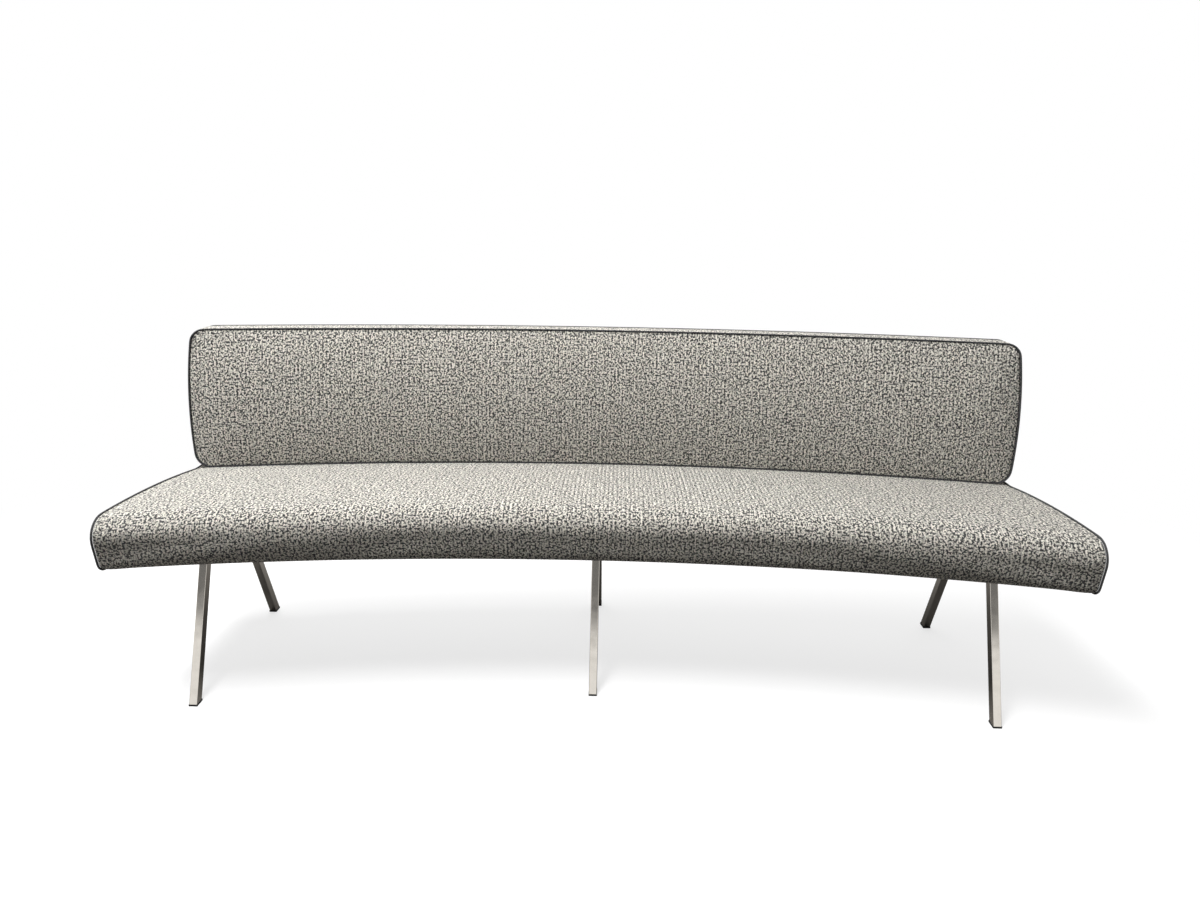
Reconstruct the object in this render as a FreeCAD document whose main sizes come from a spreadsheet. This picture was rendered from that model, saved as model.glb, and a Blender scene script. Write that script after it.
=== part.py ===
"""Curved dining bench with backrest: seat, back and three leg pairs, each piece a solid of its own.

Millimetres, +Z up, front towards -Y, origin on the floor under the middle of the bounding box.
Curved pieces are drawn about the centre of the bench's arc, which stands in front of the bench.
"""
import FreeCAD
import Part
import Sketcher

import math
import os

SIZES = {
    "bench_length": 2260,
    "front_radius": 5190,
    "seat_depth": 536,
    "seat_crest_height": 500,
    "seat_ledge_height": 466,
    "seat_underside_height": 367,
    "crown_radius": 3000,
    "nose_radius": 52,
    "front_undercut": 8,
    "front_bottom_radius": 28,
    "rear_top_radius": 18,
    "hem_width": 22,
    "cloth_thickness": 2,
    "cloth_gap": 0.2,
    "wadding_thickness": 4,
    "piping_size": 5,
    "rail_height": 50,
    "least_foam": 20,
    "front_rail_width": 45,
    "rear_rail_width": 70,
    "cross_rail_width": 70,
    "end_rail_width": 40,
    "end_foam_thickness": 15,
    "strap_width": 80,
    "strap_thickness": 2,
    "strap_bearing": 30,
    "felt_thickness": 3,
    "dust_cover_thickness": 1,
    "back_height": 847,
    "back_thickness": 70,
    "back_recline": 8.5,
    "back_crown": 8,
    "back_ledge": 52,
    "back_top_corner": 38,
    "back_bottom_corner": 45,
    "back_end_radius": 1400,
    "board_thickness": 15,
    "board_inset": 20,
    "bracket_thickness": 6,
    "bracket_width": 40,
    "bracket_reach": 98,
    "bracket_rise": 180,
    "bracket_clearance": 3,
    "bracket_bolt_pitch": 22,
    "frame_offset": 155,
    "foot_setback": 16,
    "foot_spread": 500,
    "leg_lean": 22.5,
    "leg_width": 20,
    "leg_depth": 25,
    "leg_wall": 2,
    "leg_corner": 2,
    "plate_width": 60,
    "plate_thickness": 6,
    "plate_margin": 30,
    "bolt_edge": 15,
    "bolt_spacing": 40,
    "glide_height": 5,
    "glide_overhang": 0.5,
    "glide_plug": 22,
    "bolt_size": 8,
    "bolt_head": 14,
    "bolt_head_height": 4.5,
    "washer_size": 16,
    "washer_thickness": 1.6,
    "tee_flange": 20,
    "tee_flange_thickness": 1.5,
    "tee_barrel": 10,
    "tee_length": 15,
    "screw_size": 5,
    "screw_head": 9,
    "screw_head_height": 3,
    "screw_bite": 12,
    "hole_clearance": 0.4,
}

STRAPS_PER_SIDE = 7
NOSE_SHARE = 0.45  # the most of the seat's height that the rounded nose takes


class Term:
    """A size worked out from the sheet: its value now, and the expression that keeps it bound."""

    def __init__(self, value, text):
        self.value = value
        self.text = text

    def __add__(self, other):
        other = term(other)
        return Term(self.value + other.value, f"({self.text} + {other.text})")

    def __sub__(self, other):
        other = term(other)
        return Term(self.value - other.value, f"({self.text} - {other.text})")

    def __mul__(self, other):
        other = term(other)
        return Term(self.value * other.value, f"{self.text} * ({other.text})")

    def __truediv__(self, other):
        other = term(other)
        return Term(self.value / other.value, f"{self.text} / ({other.text})")

    def __neg__(self):
        return Term(-self.value, f"(0 - {self.text})")


def term(value):
    """A plain number as a Term; a Term stays as it is."""
    return value if isinstance(value, Term) else Term(float(value), f"{float(value):g}")


def root(value):
    return Term(math.sqrt(value.value), f"sqrt({value.text})")


def tangent(value):
    return Term(math.tan(math.radians(value.value)), f"tan({value.text})")


def cosine(value):
    return Term(math.cos(math.radians(value.value)), f"cos({value.text})")


def arcsine(value):
    return Term(math.degrees(math.asin(value.value)), f"(asin({value.text}) / 1deg)")


def smaller(first, second):
    return Term(min(first.value, second.value), f"min({first.text}; {second.text})")


# The sheet of driving sizes
doc = FreeCAD.newDocument("curved_dining_bench")
sheet = doc.addObject("Spreadsheet::Sheet", "Sizes")
for row, (alias, number) in enumerate(SIZES.items(), start=1):
    sheet.set(f"A{row}", alias)
    sheet.set(f"B{row}", str(number))
    sheet.setAlias(f"B{row}", alias)
doc.recompute()
S = {alias: Term(float(number), f"Sizes.{alias}") for alias, number in SIZES.items()}

# Lengths that several pieces share
half_length = S["bench_length"] / 2
cut_end = half_length - S["piping_size"]
sweep = arcsine(half_length / S["front_radius"]) * 2 + 3
lean_slope = tangent(S["leg_lean"])
recline_slope = tangent(S["back_recline"])

# Heights in the seat, from the underside up; in a thin seat the rails leave room for foam over them
lining = S["cloth_thickness"] + S["wadding_thickness"]
rail_bottom = S["seat_underside_height"] + S["cloth_thickness"]
padding = lining + S["cloth_gap"] + S["least_foam"] + S["strap_thickness"] + S["felt_thickness"]
rail_height = smaller(S["rail_height"], S["seat_ledge_height"] - padding - rail_bottom)
nose_radius = smaller(S["nose_radius"], (S["seat_crest_height"] - S["seat_underside_height"]) * NOSE_SHARE)
rail_top = rail_bottom + rail_height
felt_bottom = rail_top + S["strap_thickness"]
foam_bottom = felt_bottom + S["felt_thickness"]
plate_top = rail_bottom - S["dust_cover_thickness"]
plate_bottom = plate_top - S["plate_thickness"]
foot_top = S["seat_underside_height"]
foot_bottom = foot_top - S["bracket_thickness"]

# Radii of the seat frame, from the centre of the arc outwards
front_rail_inner = S["front_radius"] + S["front_undercut"] + S["front_bottom_radius"]
front_rail_outer = front_rail_inner + S["front_rail_width"]
seat_rear = S["front_radius"] + S["seat_depth"]
rear_rail_outer = seat_rear - lining
rear_rail_inner = rear_rail_outer - S["rear_rail_width"]

# The backrest stands on the ledge at the rear of the seat
back_front = seat_rear - S["back_ledge"]
back_base = S["seat_ledge_height"] + S["cloth_gap"]
board_rear = S["back_ledge"] + S["bracket_clearance"]
board_front = board_rear - S["board_thickness"]
back_rise = (S["back_height"] - back_base) * recline_slope

# The arc's centre is set so that the bounding box is centred on the origin
front_reach = root(S["front_radius"] * S["front_radius"] - half_length * half_length)
rear_reach = back_front + S["back_thickness"] + back_rise
centre_y = -(front_reach + rear_reach) / 2

# Where the legs and the back brackets stand
foot_radius = S["front_radius"] + S["foot_setback"]
frame_across = half_length - S["frame_offset"]
frame_places = {"left": -frame_across, "middle": term(0), "right": frame_across}
leg_cut = S["leg_depth"] / cosine(S["leg_lean"])
plate_front = plate_bottom * lean_slope - S["plate_margin"]
plate_rear = S["foot_spread"] - plate_bottom * lean_slope + leg_cut + S["plate_margin"]
strap_pitch = frame_across / (STRAPS_PER_SIDE + 0.5)
bracket_offset = strap_pitch * (STRAPS_PER_SIDE - 0.75)
bracket_turn = arcsine(bracket_offset / rear_rail_inner)
bracket_places = {"left": bracket_turn, "middle": term(0), "right": -bracket_turn}
bracket_bolts = [rear_rail_inner + S["bolt_edge"]]
bracket_bolts.append(bracket_bolts[0] + S["bracket_bolt_pitch"])
screw_heights = [back_base + S["bracket_rise"] * share for share in (0.3, 0.6, 0.9)]


def radial(radius, turn):
    """Plan position, from the arc's centre, of a point at a radius and a turn about that centre."""
    if turn.value == 0:
        return term(0), radius
    angle = math.radians(turn.value)
    across = Term(-radius.value * math.sin(angle), f"(0 - {radius.text} * sin({turn.text}))")
    along = Term(radius.value * math.cos(angle), f"{radius.text} * cos({turn.text})")
    return across, along


def foot_line(across):
    """Distance behind the arc's centre of the line on which the front feet stand."""
    return root(foot_radius * foot_radius - across * across)


def leg_bolts(across):
    """Plan positions, from the arc's centre, of the four bolts of one leg pair."""
    places = []
    for side in (-1, 1):
        for along in (plate_front + S["bolt_edge"], plate_rear - S["bolt_edge"]):
            places.append((across + S["bolt_spacing"] * (side / 2), foot_line(across) + along))
    return places


def new_body(label, curved=True):
    """An empty body; a curved piece is drawn about the arc's centre and set back by it."""
    body = doc.addObject("PartDesign::Body", label)
    body.Label = label
    if curved:
        body.setExpression("Placement.Base.y", centre_y.text)
    return body


def origin_feature(body, role):
    return next(item for item in body.Origin.OriginFeatures if item.Role == role)


class Drawing:
    """A sketch on one of a body's own planes, dimensioned from the sheet."""

    def __init__(self, body, plane, turn=None, lift=None):
        self.sketch = body.newObject("Sketcher::SketchObject", f"{body.Label}_{plane[:2]}_outline")
        self.sketch.AttachmentSupport = [(origin_feature(body, plane), "")]
        self.sketch.MapMode = "FlatFace"
        if turn is not None:
            angle = "Yaw" if plane == "XY_Plane" else "Pitch"
            self.sketch.setExpression(f"AttachmentOffset.Rotation.{angle}", turn.text)
        if lift is not None:
            self.sketch.setExpression("AttachmentOffset.Base.z", lift.text)

    def bind(self, constraint, size):
        index = self.sketch.addConstraint(constraint)
        self.sketch.setExpression(f"Constraints[{index}]", size.text)

    def place(self, item, point, across=None, along=None):
        """Hold a point of an item at distances from the sketch's origin."""
        for size, kind, axis in ((across, "DistanceX", -2), (along, "DistanceY", -1)):
            if size is None:
                continue
            if size.value == 0:
                self.sketch.addConstraint(Sketcher.Constraint("PointOnObject", item, point, axis))
            else:
                self.bind(Sketcher.Constraint(kind, -1, 1, item, point, size.value), size)

    def join(self, first, first_point, second, second_point, kind="Coincident"):
        self.sketch.addConstraint(Sketcher.Constraint(kind, first, first_point, second, second_point))

    def line(self, start, end):
        ends = [FreeCAD.Vector(x, y, 0) for x, y in (start, end)]
        return self.sketch.addGeometry(Part.LineSegment(*ends))

    def arc(self, centre, radius, first, last):
        """An arc drawn counter-clockwise between two angles in radians, its radius bound."""
        circle = Part.Circle(FreeCAD.Vector(centre[0], centre[1], 0), FreeCAD.Vector(0, 0, 1), radius.value)
        item = self.sketch.addGeometry(Part.ArcOfCircle(circle, first, last))
        self.bind(Sketcher.Constraint("Radius", item, radius.value), radius)
        return item

    def circle(self, across, along, diameter):
        centre = FreeCAD.Vector(across.value, along.value, 0)
        item = self.sketch.addGeometry(Part.Circle(centre, FreeCAD.Vector(0, 0, 1), diameter.value / 2))
        self.bind(Sketcher.Constraint("Diameter", item, diameter.value), diameter)
        self.place(item, 3, across, along)

    def polygon(self, corners):
        """A closed outline through corners given as pairs of Terms."""
        count = len(corners)
        points = [(across.value, along.value) for across, along in corners]
        items = [self.line(points[i], points[(i + 1) % count]) for i in range(count)]
        for i, (across, along) in enumerate(corners):
            self.join(items[i], 2, items[(i + 1) % count], 1)
            self.place(items[i], 1, across, along)

    def rectangle(self, left, right, low, high):
        self.polygon([(left, low), (right, low), (right, high), (left, high)])

    def patch(self, left, right, inner, outer):
        """Plan of a curved board: two arcs about the origin closed by straight ends."""
        arcs = []
        for radius in (inner, outer):
            first = math.acos(right.value / radius.value)
            last = math.acos(left.value / radius.value)
            item = self.arc((0, 0), radius, first, last)
            self.join(item, 3, -1, 1)
            arcs.append((item, radius.value))
        for side, point in ((right, 1), (left, 2)):
            ends = [(side.value, math.sqrt(radius * radius - side.value * side.value)) for _, radius in arcs]
            item = self.line(*ends)
            self.sketch.addConstraint(Sketcher.Constraint("Vertical", item))
            self.join(item, 1, arcs[0][0], point)
            self.join(item, 2, arcs[1][0], point)
            self.place(item, 1, across=side)


def add_feature(body, kind, drawing, **settings):
    """A sketch-based feature; settings that are Terms stay bound to the sheet."""
    feature = body.newObject(f"PartDesign::{kind}", f"{body.Label}_{kind.lower()}")
    feature.Profile = drawing.sketch
    for name, value in settings.items():
        if isinstance(value, Term):
            setattr(feature, name, value.value)
            feature.setExpression(name, value.text)
        else:
            setattr(feature, name, value)
    drawing.sketch.Visibility = False
    body.Tip = feature
    return feature


def pocket_through(body, drawing):
    add_feature(body, "Pocket", drawing, Type="ThroughAll", Midplane=True)


def revolve(body, drawing):
    """Carry a section round the bench's arc."""
    axis = (origin_feature(body, "Z_Axis"), [""])
    add_feature(body, "Revolution", drawing, ReferenceAxis=axis, Angle=sweep, Midplane=True)


def keep_between(body, left, right):
    """Cut a curved piece off square at two planes across the bench."""
    drawing = Drawing(body, "XY_Plane")
    spare = S["front_radius"] / 4
    inner = S["front_radius"] * 0.9
    drawing.rectangle(-half_length - spare, left, inner, S["front_radius"] * 1.25)
    drawing.rectangle(right, half_length + spare, inner, S["front_radius"] * 1.25)
    pocket_through(body, drawing)


def curved_board(label, left, right, inner, outer, bottom, thickness, holes=(), hole_size=None):
    """A board cut to the curve of the bench from flat stock, with any bolt holes."""
    body = new_body(label)
    drawing = Drawing(body, "XY_Plane", lift=bottom)
    drawing.patch(left, right, inner, outer)
    for across, along in holes:
        drawing.circle(across, along, hole_size)
    add_feature(body, "Pad", drawing, Length=thickness)
    return body


def group(label, members):
    """Identical pieces kept together as separate solids of one node."""
    node = doc.addObject("Part::Compound", label)
    node.Label = label
    node.Links = members
    return node


def copies(label, model, places):
    """Copies of one small part, each at its own bound place and turn about the vertical."""
    links = []
    for count, (across, along, height, turn) in enumerate(places, start=1):
        link = doc.addObject("App::Link", f"{label}_{count}")
        link.LinkedObject = model
        link.LinkTransform = False
        for axis, size in zip("xyz", (across, along + centre_y, height)):
            link.setExpression(f"Placement.Base.{axis}", size.text)
        link.setExpression("Placement.Rotation.Yaw", turn.text)
        links.append(link)
    return group(label, links)


# Timber frame of the seat: rails glued end to end, with holes for the tee nuts
tee_hole = S["tee_barrel"] + S["hole_clearance"]
bolt_hole = S["bolt_size"] + S["hole_clearance"] * 2
bracket_holes = [radial(radius, turn) for turn in bracket_places.values() for radius in bracket_bolts]
frame_end = cut_end - S["end_foam_thickness"]
end_rail_start = frame_end - S["end_rail_width"]
nodes = {}
nodes["seat_front_rail"] = curved_board(
    "seat_front_rail", -frame_end, frame_end, front_rail_inner, front_rail_outer, rail_bottom, rail_height)
nodes["seat_rear_rail"] = curved_board(
    "seat_rear_rail", -frame_end, frame_end, rear_rail_inner, rear_rail_outer, rail_bottom, rail_height,
    bracket_holes, tee_hole)
for side, left, right in (("left", -frame_end, -end_rail_start), ("right", end_rail_start, frame_end)):
    label = f"seat_{side}_end_rail"
    nodes[label] = curved_board(
        label, left, right, front_rail_outer, rear_rail_inner, rail_bottom, rail_height)
for side, across in frame_places.items():
    label = f"seat_{side}_cross_rail"
    reach = S["cross_rail_width"] / 2
    nodes[label] = curved_board(
        label, across - reach, across + reach, front_rail_outer, rear_rail_inner, rail_bottom, rail_height,
        leg_bolts(across), tee_hole)

# Elastic webbing stapled across the rails, and the felt that keeps the foam off it
straps = []
for side in (-1, 1):
    for count in range(STRAPS_PER_SIDE):
        middle = strap_pitch * (side * (count + 0.75))
        straps.append(curved_board(
            f"strap_{len(straps) + 1}", middle - S["strap_width"] / 2, middle + S["strap_width"] / 2,
            front_rail_outer - S["strap_bearing"], rear_rail_inner + S["strap_bearing"], rail_top,
            S["strap_thickness"]))
nodes["seat_webbing"] = group("seat_webbing", straps)
nodes["seat_felt_pad"] = curved_board(
    "seat_felt_pad", -frame_end, frame_end, front_rail_inner + S["cloth_gap"],
    rear_rail_outer - S["cloth_gap"], felt_bottom, S["felt_thickness"])


def cushion_line(drawing, inset, hemmed=False):
    """The seat's outline from the rear wall over the top and nose to the front's bottom, set in by a depth.

    Returns the first and the last item; the rear wall's lower end and the bottom arc's end are left open.
    A hemmed outline goes on from the wall into a rounded corner, which keeps the wall upright.
    """
    depth = inset.value
    bottom_centre = (front_rail_inner, S["seat_underside_height"] + S["front_bottom_radius"])
    nose_centre = (S["front_radius"] + nose_radius, S["seat_crest_height"] - nose_radius)
    rear_centre = (seat_rear - S["rear_top_radius"], S["seat_ledge_height"] - S["rear_top_radius"])
    ledge_start = (back_front - S["cloth_thickness"], S["seat_ledge_height"] - inset)
    bottom_radius = S["front_bottom_radius"] - inset
    front_radius = nose_radius - inset
    rear_radius = S["rear_top_radius"] - inset
    crown_radius = S["crown_radius"] - inset

    # Where the straight front touches the two arcs, and where the crown leaves the nose
    low = [size.value for size in bottom_centre]
    high = [size.value for size in nose_centre]
    ledge = [size.value for size in ledge_start]
    apart = math.dist(low, high)
    front_angle = (math.atan2(high[1] - low[1], high[0] - low[0])
                   + math.acos((bottom_radius.value - front_radius.value) / apart))
    reach = crown_radius.value - front_radius.value
    chord = math.dist(high, ledge)
    bearing = math.atan2(ledge[1] - high[1], ledge[0] - high[0])
    swing = math.acos((chord * chord + reach * reach - crown_radius.value ** 2) / (2 * chord * reach))
    crown = [high[0] + reach * math.cos(bearing - swing), high[1] + reach * math.sin(bearing - swing)]
    crest_angle = math.atan2(high[1] - crown[1], high[0] - crown[0])
    ledge_angle = math.atan2(ledge[1] - crown[1], ledge[0] - crown[0])

    wall_x = seat_rear.value - depth
    ledge_y = S["seat_ledge_height"].value - depth
    touches = []
    for centre, radius in ((high, front_radius), (low, bottom_radius)):
        touches.append([centre[0] + radius.value * math.cos(front_angle),
                        centre[1] + radius.value * math.sin(front_angle)])
    wall = drawing.line((wall_x, rail_top.value), (wall_x, rear_centre[1].value))
    rear = drawing.arc([size.value for size in rear_centre], rear_radius, 0, math.pi / 2)
    shelf = drawing.line((rear_centre[0].value, ledge_y), ledge)
    top = drawing.arc(crown, crown_radius, ledge_angle, crest_angle)
    nose = drawing.arc(high, front_radius, crest_angle, front_angle)
    front = drawing.line(*touches)
    bottom = drawing.arc(low, bottom_radius, front_angle, 1.5 * math.pi)

    drawing.join(wall, 2, rear, 1, "Tangent")
    drawing.join(rear, 2, shelf, 1, "Tangent")
    drawing.join(shelf, 2, top, 1)
    drawing.join(top, 2, nose, 1, "Tangent")
    drawing.join(nose, 2, front, 1, "Tangent")
    drawing.join(front, 2, bottom, 1, "Tangent")
    drawing.place(rear, 3, *rear_centre)
    drawing.place(nose, 3, *nose_centre)
    drawing.place(bottom, 3, *bottom_centre)
    drawing.place(shelf, 2, across=ledge_start[0])
    drawing.sketch.addConstraint(Sketcher.Constraint("Horizontal", shelf))
    if not hemmed:
        drawing.sketch.addConstraint(Sketcher.Constraint("Vertical", wall))
    return wall, bottom


def closed_by(drawing, first, last, corners):
    """Close a cushion outline with straight lines from its last item through corners to its first."""
    points = [(across.value, along.value) for across, along in corners]
    lines = [drawing.line(points[i], points[i + 1]) for i in range(len(points) - 1)]
    for before, after in zip([last, *lines], [*lines, first]):
        drawing.join(before, 2, after, 1)
    drawing.place(lines[0], 1, across=corners[0][0])
    for item, corner in zip(lines[:-1], corners[1:-1]):
        drawing.place(item, 2, *corner)
    drawing.place(lines[-1], 2, along=corners[-1][1])


def cushion_layer(label, outer, inner):
    """A soft layer of even thickness laid over the seat, from the rear wall to the bottom of the front."""
    body = new_body(label)
    drawing = Drawing(body, "YZ_Plane")
    rest = S["seat_underside_height"] + lining
    walls, bottoms = zip(*(cushion_line(drawing, inset) for inset in (outer, inner)))
    edge = drawing.line(*(((seat_rear - inset).value, rest.value) for inset in (outer, inner)))
    drawing.join(edge, 1, walls[0], 1)
    drawing.join(edge, 2, walls[1], 1)
    drawing.sketch.addConstraint(Sketcher.Constraint("Horizontal", edge))
    drawing.place(edge, 1, along=rest)
    foot = drawing.line(
        (front_rail_inner.value, S["seat_underside_height"].value + outer.value),
        (front_rail_inner.value, S["seat_underside_height"].value + inner.value))
    drawing.join(foot, 1, bottoms[0], 2)
    drawing.join(foot, 2, bottoms[1], 2)
    drawing.sketch.addConstraint(Sketcher.Constraint("Vertical", foot))
    drawing.place(foot, 1, across=front_rail_inner)
    revolve(body, drawing)
    return body


# Foam block with a lip that laps over the front rail, crowned from the nose to the ledge
body = new_body("seat_foam")
drawing = Drawing(body, "YZ_Plane")
foam_inset = lining + S["cloth_gap"]
wall, bottom = cushion_line(drawing, foam_inset)
closed_by(drawing, wall, bottom, [
    (front_rail_inner, S["seat_underside_height"] + foam_inset),
    (front_rail_inner, foam_bottom),
    (seat_rear - foam_inset, foam_bottom),
])
revolve(body, drawing)
keep_between(body, -cut_end, cut_end)
nodes["seat_foam"] = body

# Foam pads glued to the outer faces of the end rails
pads = []
for side, left, right in (("left", -cut_end, -frame_end), ("right", frame_end, cut_end)):
    pads.append(curved_board(
        f"{side}_end_pad", left, right, front_rail_inner + S["cloth_gap"], rear_rail_outer - S["cloth_gap"],
        rail_bottom, foam_bottom - rail_bottom))
nodes["seat_end_foam"] = group("seat_end_foam", pads)

# Wadding over the foam
body = cushion_layer("seat_wadding", S["cloth_thickness"] + S["cloth_gap"], lining)
keep_between(body, -cut_end, cut_end)
nodes["seat_wadding"] = body

# Main cover: one cloth from the rear hem over the top and nose to the front hem under the seat
body = new_body("seat_cover")
drawing = Drawing(body, "YZ_Plane")
hems = {"front": front_rail_inner + S["hem_width"], "rear": rear_rail_outer - S["hem_width"]}
free_ends = {"front": [], "rear": []}
for inset in (term(0), S["cloth_thickness"]):
    wall, bottom = cushion_line(drawing, inset, hemmed=True)
    level = S["seat_underside_height"] + inset
    corner = (rear_rail_outer, S["seat_underside_height"] + lining)
    radius = lining - inset
    turn = drawing.arc([size.value for size in corner], radius, -math.pi / 2, 0)
    drawing.place(turn, 3, *corner)
    drawing.join(turn, 2, wall, 1, "Tangent")
    rear_hem = drawing.line((hems["rear"].value, level.value), (corner[0].value, level.value))
    drawing.join(rear_hem, 2, turn, 1, "Tangent")
    drawing.place(rear_hem, 1, across=hems["rear"])
    front_hem = drawing.line((front_rail_inner.value, level.value), (hems["front"].value, level.value))
    drawing.join(bottom, 2, front_hem, 1, "Tangent")
    drawing.place(front_hem, 2, hems["front"], level)
    free_ends["rear"].append((rear_hem, 1))
    free_ends["front"].append((front_hem, 2))
for name, ((lower, lower_point), (upper, upper_point)) in free_ends.items():
    levels = (S["seat_underside_height"], S["seat_underside_height"] + S["cloth_thickness"])
    edge = drawing.line(*((hems[name].value, level.value) for level in levels))
    drawing.join(edge, 1, lower, lower_point)
    drawing.join(edge, 2, upper, upper_point)
revolve(body, drawing)
keep_between(body, -cut_end, cut_end)
nodes["seat_cover"] = body

# End panels sewn to the cover, and the dark piping caught in each seam
for side, direction in (("left", -1), ("right", 1)):
    body = new_body(f"seat_{side}_end_panel")
    drawing = Drawing(body, "YZ_Plane")
    panel_inset = S["piping_size"] + S["cloth_gap"]
    wall, bottom = cushion_line(drawing, panel_inset)
    closed_by(drawing, wall, bottom, [
        (front_rail_inner, S["seat_underside_height"] + panel_inset),
        (front_rail_inner, rail_bottom),
        (seat_rear - panel_inset, rail_bottom),
    ])
    revolve(body, drawing)
    faces = [cut_end * direction, (cut_end + S["cloth_thickness"]) * direction]
    keep_between(body, *sorted(faces, key=lambda size: size.value))
    nodes[body.Label] = body
    body = cushion_layer(f"seat_{side}_piping", term(0), S["piping_size"])
    faces = [cut_end * direction, half_length * direction]
    keep_between(body, *sorted(faces, key=lambda size: size.value))
    nodes[body.Label] = body

# Dust cover stapled under the rails between the hems
all_leg_bolts = [place for across in frame_places.values() for place in leg_bolts(across)]
nodes["seat_dust_cover"] = curved_board(
    "seat_dust_cover", -cut_end, cut_end, hems["front"] + S["cloth_gap"], hems["rear"] - S["cloth_gap"],
    plate_top, S["dust_cover_thickness"], all_leg_bolts + bracket_holes, bolt_hole)


def bow(drawing, lower, upper, low, high):
    """The crowned face of a backrest layer: an arc that bows forward between two corners by the crown."""
    rise = S["back_crown"]
    points = [[size.value for size in corner] for corner in (low, high)]
    chord = math.dist(*points)
    chord_size = (high[1] - low[1]) / cosine(S["back_recline"])
    radius = (chord_size * chord_size / 4 + rise * rise) / (rise * 2)
    along = [(points[1][i] - points[0][i]) / chord for i in range(2)]
    middle = [(points[0][i] + points[1][i]) / 2 for i in range(2)]
    offset = radius.value - rise.value
    centre = [middle[0] + along[1] * offset, middle[1] - along[0] * offset]
    first, last = (math.atan2(point[1] - centre[1], point[0] - centre[0]) for point in reversed(points))
    item = drawing.arc(centre, radius, first, last + 2 * math.pi)
    drawing.join(item, 1, *upper)
    drawing.join(item, 2, *lower)


def back_slab(label, front, rear, inset, crowned_front, crowned_rear):
    """A layer of the backrest between two depths behind its front face, leaning with it."""
    body = new_body(label)
    drawing = Drawing(body, "YZ_Plane")
    low = back_base + inset
    high = S["back_height"] - inset
    corners = []
    for depth, height in ((front, low), (rear, low), (rear, high), (front, high)):
        corners.append((back_front + depth + (height - back_base) * recline_slope, height))
    points = [(across.value, along.value) for across, along in corners]
    bottom = drawing.line(points[0], points[1])
    top = drawing.line(points[2], points[3])
    for item, pair in ((bottom, corners[:2]), (top, corners[2:])):
        for point, corner in enumerate(pair, start=1):
            drawing.place(item, point, *corner)
    faces = (((bottom, 1), (top, 2), 0, 3, crowned_front), ((bottom, 2), (top, 1), 1, 2, crowned_rear))
    for lower, upper, first, last, crowned in faces:
        if crowned:
            bow(drawing, lower, upper, corners[first], corners[last])
        else:
            face = drawing.line(points[first], points[last])
            drawing.join(face, 1, *lower)
            drawing.join(face, 2, *upper)
    revolve(body, drawing)
    return body


def bowed_end(corners, radius):
    """Centre of the arc that bows round two corner arcs, and the angles at which it leaves them."""
    upper, lower = ([across.value, along.value] for across, along, _ in corners)
    reaches = [radius.value - size.value for _, _, size in corners]
    apart = math.dist(upper, lower)
    down = [(lower[i] - upper[i]) / apart for i in range(2)]
    fall = (reaches[0] ** 2 - reaches[1] ** 2 + apart ** 2) / (2 * apart)
    back = math.sqrt(reaches[0] ** 2 - fall ** 2)
    centre = [upper[0] + down[0] * fall + down[1] * back, upper[1] + down[1] * fall - down[0] * back]
    return centre, [math.atan2(point[1] - centre[1], point[0] - centre[0]) for point in (upper, lower)]


def rounded_loop(drawing, inset):
    """The backrest's outline seen from the front, set in by a margin: round corners and bowed ends."""
    reach = half_length - inset
    low = back_base + inset
    high = S["back_height"] - inset
    top_radius = S["back_top_corner"] - inset
    bottom_radius = S["back_bottom_corner"] - inset
    end_radius = S["back_end_radius"] - inset
    corners = {
        "upper": (reach - top_radius, high - top_radius, top_radius),
        "lower": (reach - bottom_radius, low + bottom_radius, bottom_radius),
    }
    centre, (rise, fall) = bowed_end(corners.values(), end_radius)
    spans = {
        ("upper", 1): (rise, math.pi / 2),
        ("upper", -1): (math.pi / 2, math.pi - rise),
        ("lower", -1): (math.pi - fall, 1.5 * math.pi),
        ("lower", 1): (-math.pi / 2, fall),
    }
    arcs = {}
    for (level, side), span in spans.items():
        across, along, radius = corners[level]
        arcs[level, side] = drawing.arc((across.value * side, along.value), radius, *span)
        drawing.place(arcs[level, side], 3, across * side, along)
    ends = {
        1: drawing.arc(centre, end_radius, fall, rise),
        -1: drawing.arc((-centre[0], centre[1]), end_radius, math.pi - rise, math.pi - fall),
    }
    upper, lower = (corners[level][0].value for level in ("upper", "lower"))
    top = drawing.line((upper, high.value), (-upper, high.value))
    bottom = drawing.line((-lower, low.value), (lower, low.value))
    for side, first, last in ((1, top, bottom), (-1, bottom, top)):
        begin, finish = ("upper", "lower") if side == 1 else ("lower", "upper")
        drawing.join(arcs[begin, side], 2, first, 1, "Tangent")
        drawing.join(last, 2, arcs[finish, side], 1)
        drawing.join(arcs[finish, side], 2, ends[side], 1, "Tangent")
        drawing.join(ends[side], 2, arcs[begin, side], 1, "Tangent")


def back_layer(label, front, rear, inset, hollow=None, crowned_front=False, crowned_rear=False):
    """A layer cut to the rounded outline, or to a ring where a second margin is given."""
    body = back_slab(label, front, rear, inset, crowned_front, crowned_rear)
    drawing = Drawing(body, "XZ_Plane")
    spare = half_length * 1.5
    drawing.rectangle(
        -spare, spare, S["seat_underside_height"], S["back_height"] + S["seat_underside_height"])
    rounded_loop(drawing, inset)
    if hollow is not None:
        rounded_loop(drawing, hollow)
    pocket_through(body, drawing)
    nodes[label] = body
    return body


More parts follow.
